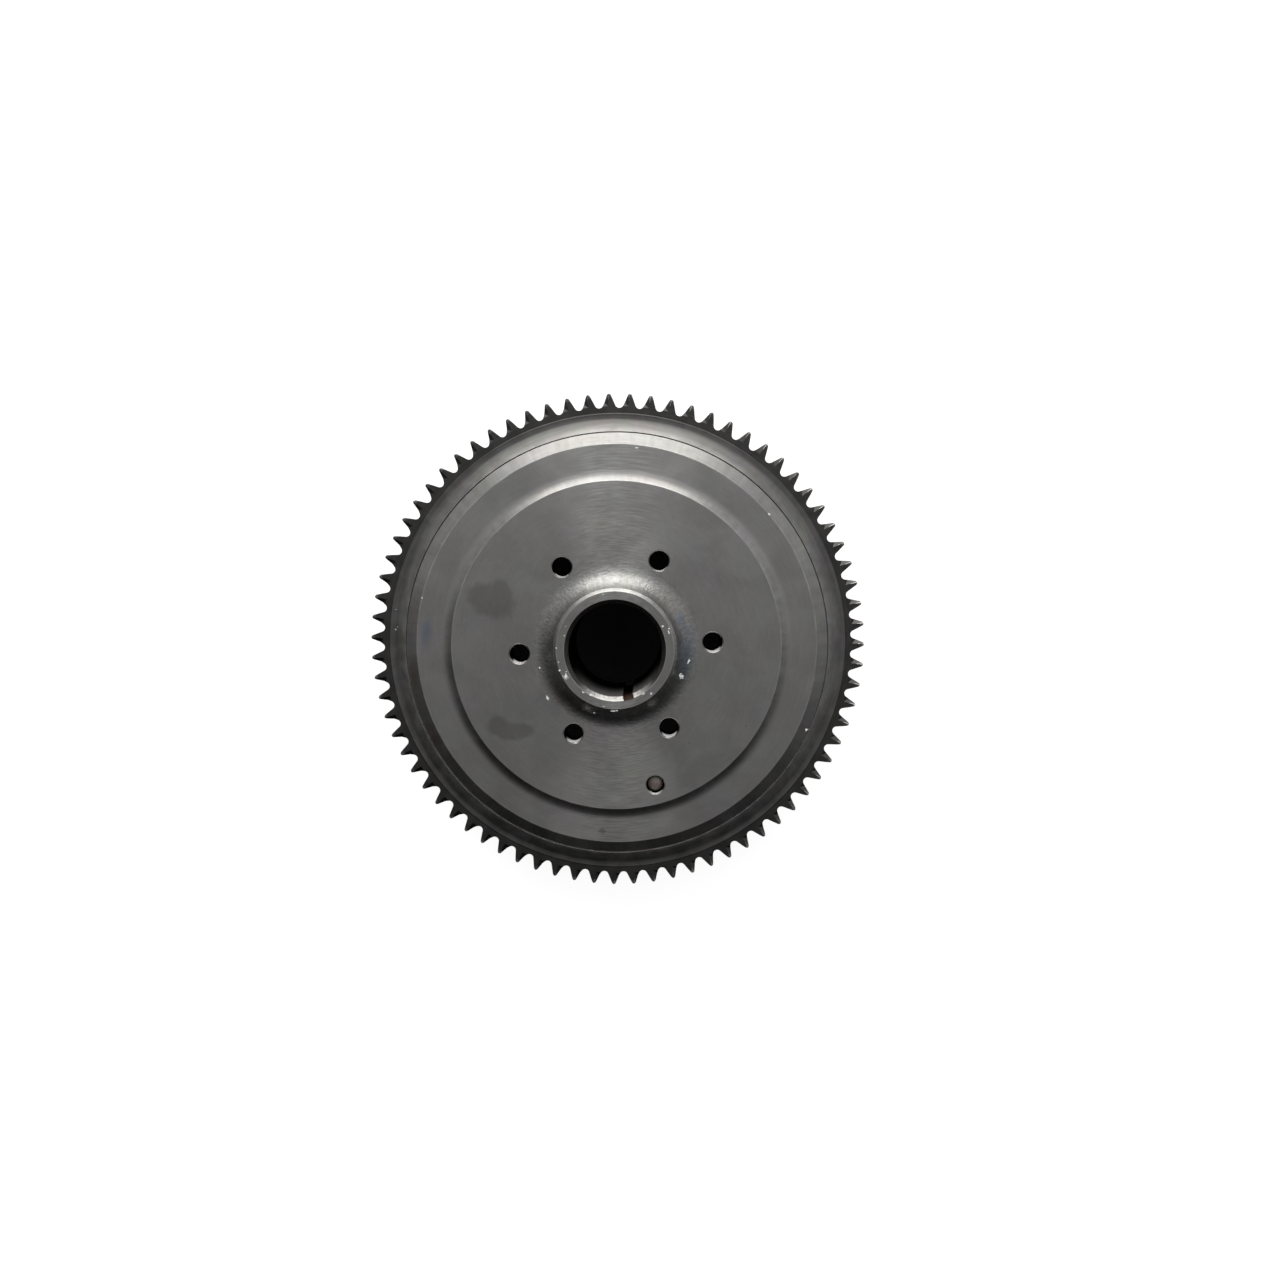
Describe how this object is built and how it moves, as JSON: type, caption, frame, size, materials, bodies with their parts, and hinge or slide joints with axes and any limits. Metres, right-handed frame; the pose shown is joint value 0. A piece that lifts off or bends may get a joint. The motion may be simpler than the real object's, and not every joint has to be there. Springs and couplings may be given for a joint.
{
  "type": "magneto flywheel",
  "caption": "Turned steel magneto flywheel with a keyed hub, a bolt circle in its raised disc, a shrunk-on starter ring gear and magnets inside its open skirt.",
  "frame": {"origin": "where the spin axis meets the plane of the open rim, which the flywheel lies on", "axes": "+Z along the spin axis from the open rim towards the hub's face, +X through one of the bolt holes"},
  "size_m": [0.1956, 0.1956, 0.0562],
  "materials": {
    "turned_steel": "machined, dull grey with concentric turning marks",
    "gear_steel": "dark oxide with bright worn tooth facets",
    "pin_steel": "brown-tinged hardened steel",
    "ferrite": "ground dark ferrite",
    "cage_plastic": "black moulded nylon",
    "sleeve_steel": "thin drawn stainless sheet",
    "spring_steel": "oiled blued spring steel"
  },
  "bodies": {
    "root": {"rotor_shell": "turned_steel", "ring_gear": "gear_steel", "locating_pin": "pin_steel", "magnet_01": "ferrite", "magnet_02": "ferrite", "magnet_03": "ferrite", "magnet_04": "ferrite", "magnet_05": "ferrite", "magnet_06": "ferrite", "magnet_07": "ferrite", "magnet_08": "ferrite", "magnet_09": "ferrite", "magnet_10": "ferrite", "magnet_11": "ferrite", "magnet_12": "ferrite", "magnet_cage": "cage_plastic", "magnet_sleeve": "sleeve_steel", "retaining_ring": "spring_steel", "trigger_lug_long": "turned_steel", "trigger_lug_short": "turned_steel"}
  },
  "joints": []
}
